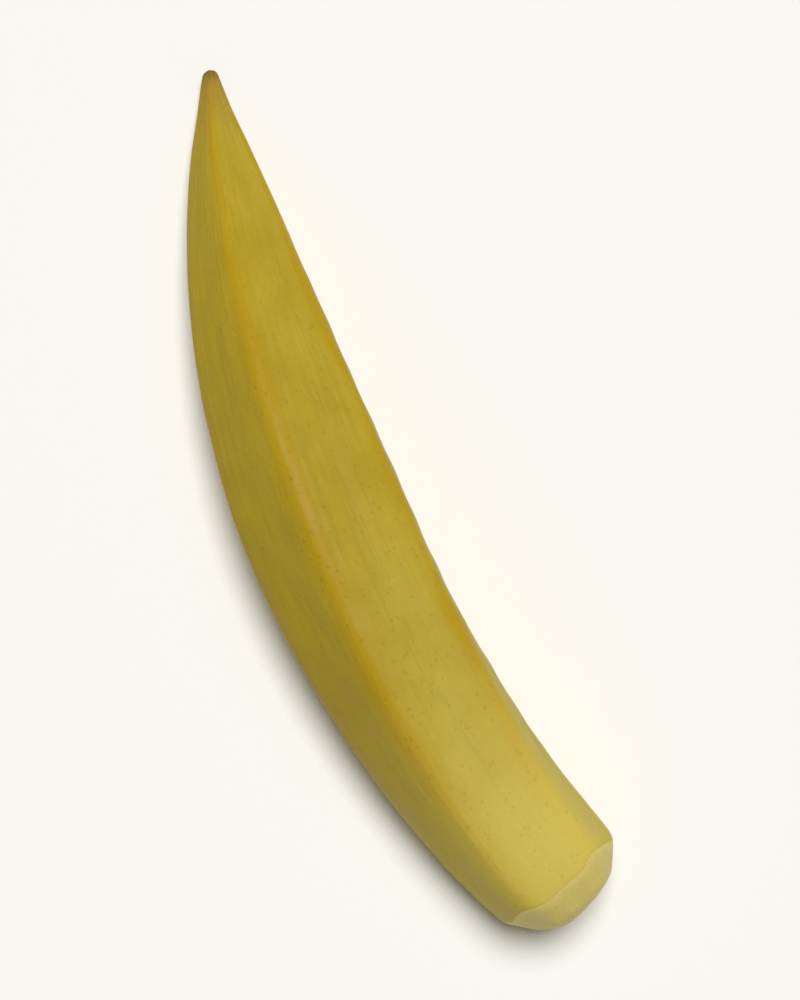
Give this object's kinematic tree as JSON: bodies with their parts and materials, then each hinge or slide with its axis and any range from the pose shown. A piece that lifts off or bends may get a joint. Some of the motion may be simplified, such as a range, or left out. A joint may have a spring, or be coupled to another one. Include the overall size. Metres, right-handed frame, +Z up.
{
  "type": "okra pod",
  "caption": "Pickled okra pod lying on its side: a ridged, gently bent green-gold capsule that tapers to a beaked tip, with its stem end pared to a short faceted cone.",
  "frame": {"origin": "centre of the pod's bounding box at the bottom, on the surface that the pod lies on", "axes": "+X from the pared stem end to the tip, +Z up, the bend bulges towards +Y"},
  "size_m": [0.0744, 0.0172, 0.013],
  "materials": {
    "pod_skin": "satin"
  },
  "bodies": {
    "root": {"okra_pod": "pod_skin"}
  },
  "joints": []
}
